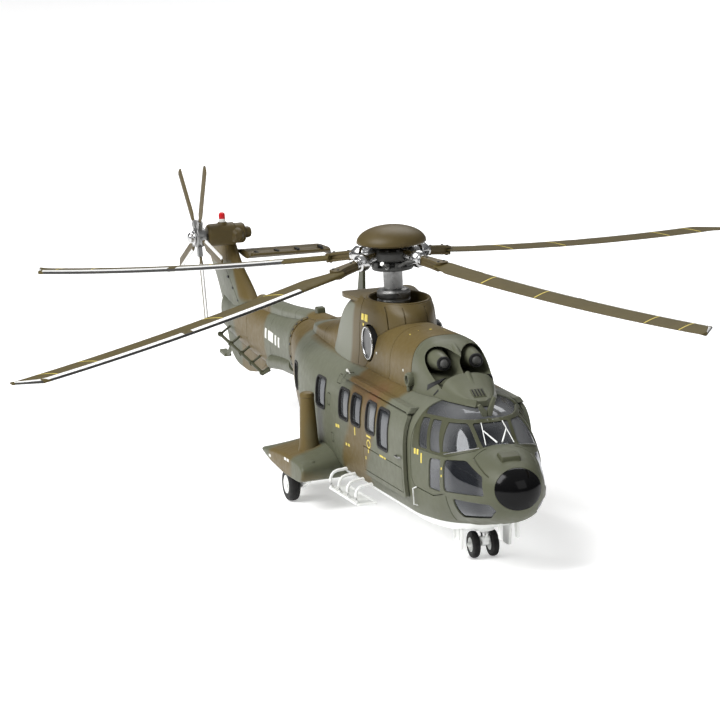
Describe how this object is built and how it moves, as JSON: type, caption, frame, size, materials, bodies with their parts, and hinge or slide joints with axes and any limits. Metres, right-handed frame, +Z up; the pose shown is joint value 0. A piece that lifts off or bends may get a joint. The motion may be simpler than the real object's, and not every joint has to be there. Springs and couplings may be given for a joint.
{
  "type": "helicopter scale model",
  "caption": "Die-cast and plastic display model of a medium transport helicopter on wheels, with a turning main and tail rotor, sliding cabin doors and a swivelling nose leg.",
  "frame": {"origin": "centre of the flat pad under the belly, straight below the rotor axis", "axes": "+X towards the nose, +Y to port, +Z up along the rotor axis"},
  "size_m": [0.255, 0.1968, 0.0651],
  "materials": {
    "beacon_red": "clear red plastic over a white foot",
    "belly_white": "satin white paint",
    "dark_grey": "dark grey plastic",
    "camouflage_green": "matt grey-green camouflage paint with soft brown bands",
    "clear_plastic": "clear moulded plastic",
    "camouflage_brown": "matt olive-brown camouflage paint on die-cast metal",
    "bare_metal": "plated metal",
    "tyre_rubber": "matt black rubber",
    "radome_black": "gloss black",
    "blade_brown": "brown plastic blade with a silver leading-edge strip"
  },
  "bodies": {
    "fuselage": {"beacon": "beacon_red", "belly_pan": "belly_white", "boarding_step_port": "belly_white", "boarding_step_starboard": "belly_white", "cabin_floor": "dark_grey", "cabin_shell": "camouflage_green", "cabin_windows_port": "clear_plastic", "cabin_windows_starboard": "clear_plastic", "cockpit_canopy": "clear_plastic", "cockpit_interior": "dark_grey", "door_rail_port": "camouflage_green", "door_rail_starboard": "camouflage_green", "engine_cowling": "camouflage_brown", "exhaust_port": "bare_metal", "exhaust_starboard": "bare_metal", "intake_bullet_port": "camouflage_green", "intake_bullet_starboard": "camouflage_green", "intake_fairing": "camouflage_green", "main_leg_port": "belly_white", "main_leg_starboard": "belly_white", "mast_fairing": "camouflage_brown", "nose_aerial_port": "belly_white", "nose_aerial_starboard": "belly_white", "nose_radome": "radome_black", "nose_windows_port": "clear_plastic", "nose_windows_starboard": "clear_plastic", "rear_antenna": "dark_grey", "spine_cover": "camouflage_green", "sponson_port": "camouflage_green", "sponson_starboard": "camouflage_green", "stabiliser": "camouflage_brown", "tail_boom": "camouflage_green", "tail_fin": "camouflage_green", "tail_gearbox_cover": "camouflage_brown", "tail_rail": "dark_grey", "tail_skid": "camouflage_green", "wire_cutter": "dark_grey"},
    "main_rotor": {"rotor_mast": "bare_metal", "swashplate": "dark_grey", "rotor_hub": "bare_metal", "hub_dome": "camouflage_brown", "rotor_blade_nose_port": "blade_brown", "rotor_blade_port": "blade_brown", "rotor_blade_aft": "blade_brown", "rotor_blade_starboard": "blade_brown"},
    "tail_rotor": {"tail_rotor": "dark_grey", "tail_rotor_cap": "bare_metal"},
    "nose_leg": {"nose_leg": "belly_white"},
    "nose_wheel_starboard": {"nose_tyre_starboard": "tyre_rubber", "nose_rim_starboard": "belly_white"},
    "nose_wheel_port": {"nose_tyre_port": "tyre_rubber", "nose_rim_port": "belly_white"},
    "main_wheel_starboard": {"main_tyre_starboard": "tyre_rubber", "main_rim_starboard": "belly_white"},
    "main_wheel_port": {"main_tyre_port": "tyre_rubber", "main_rim_port": "belly_white"},
    "cabin_door_starboard": {"sliding_door_starboard": "camouflage_green", "door_windows_starboard": "clear_plastic"},
    "cabin_door_port": {"sliding_door_port": "camouflage_green", "door_windows_port": "clear_plastic"}
  },
  "joints": [
    {"name": "main_rotor_spin", "type": "hinge", "parent": "fuselage", "child": "main_rotor", "pos_m": [0, 0, 0.0532], "axis": [0, 0, 1], "continuous": true},
    {"name": "tail_rotor_spin", "type": "hinge", "parent": "fuselage", "child": "tail_rotor", "pos_m": [-0.13, -0.0093, 0.0382], "axis": [0, 1, 0], "continuous": true},
    {"name": "nose_leg_swivel", "type": "hinge", "parent": "fuselage", "child": "nose_leg", "pos_m": [0.0586, 0, -0.003], "axis": [0, 0, 1], "range_deg": [-45, 45]},
    {"name": "nose_wheel_starboard_spin", "type": "hinge", "parent": "nose_leg", "child": "nose_wheel_starboard", "pos_m": [0.0573, -0.00215, -0.003], "axis": [0, 1, 0], "continuous": true},
    {"name": "nose_wheel_port_spin", "type": "hinge", "parent": "nose_leg", "child": "nose_wheel_port", "pos_m": [0.0573, 0.00215, -0.003], "axis": [0, 1, 0], "continuous": true},
    {"name": "main_wheel_starboard_spin", "type": "hinge", "parent": "fuselage", "child": "main_wheel_starboard", "pos_m": [-0.0203, -0.0203, -0.0021], "axis": [0, 1, 0], "continuous": true},
    {"name": "main_wheel_port_spin", "type": "hinge", "parent": "fuselage", "child": "main_wheel_port", "pos_m": [-0.0203, 0.0203, -0.0021], "axis": [0, 1, 0], "continuous": true},
    {"name": "cabin_door_starboard_slide", "type": "slide", "parent": "fuselage", "child": "cabin_door_starboard", "axis": [-1, 0, 0], "range_m": [0, 0.018]},
    {"name": "cabin_door_port_slide", "type": "slide", "parent": "fuselage", "child": "cabin_door_port", "axis": [-1, 0, 0], "range_m": [0, 0.018]}
  ]
}
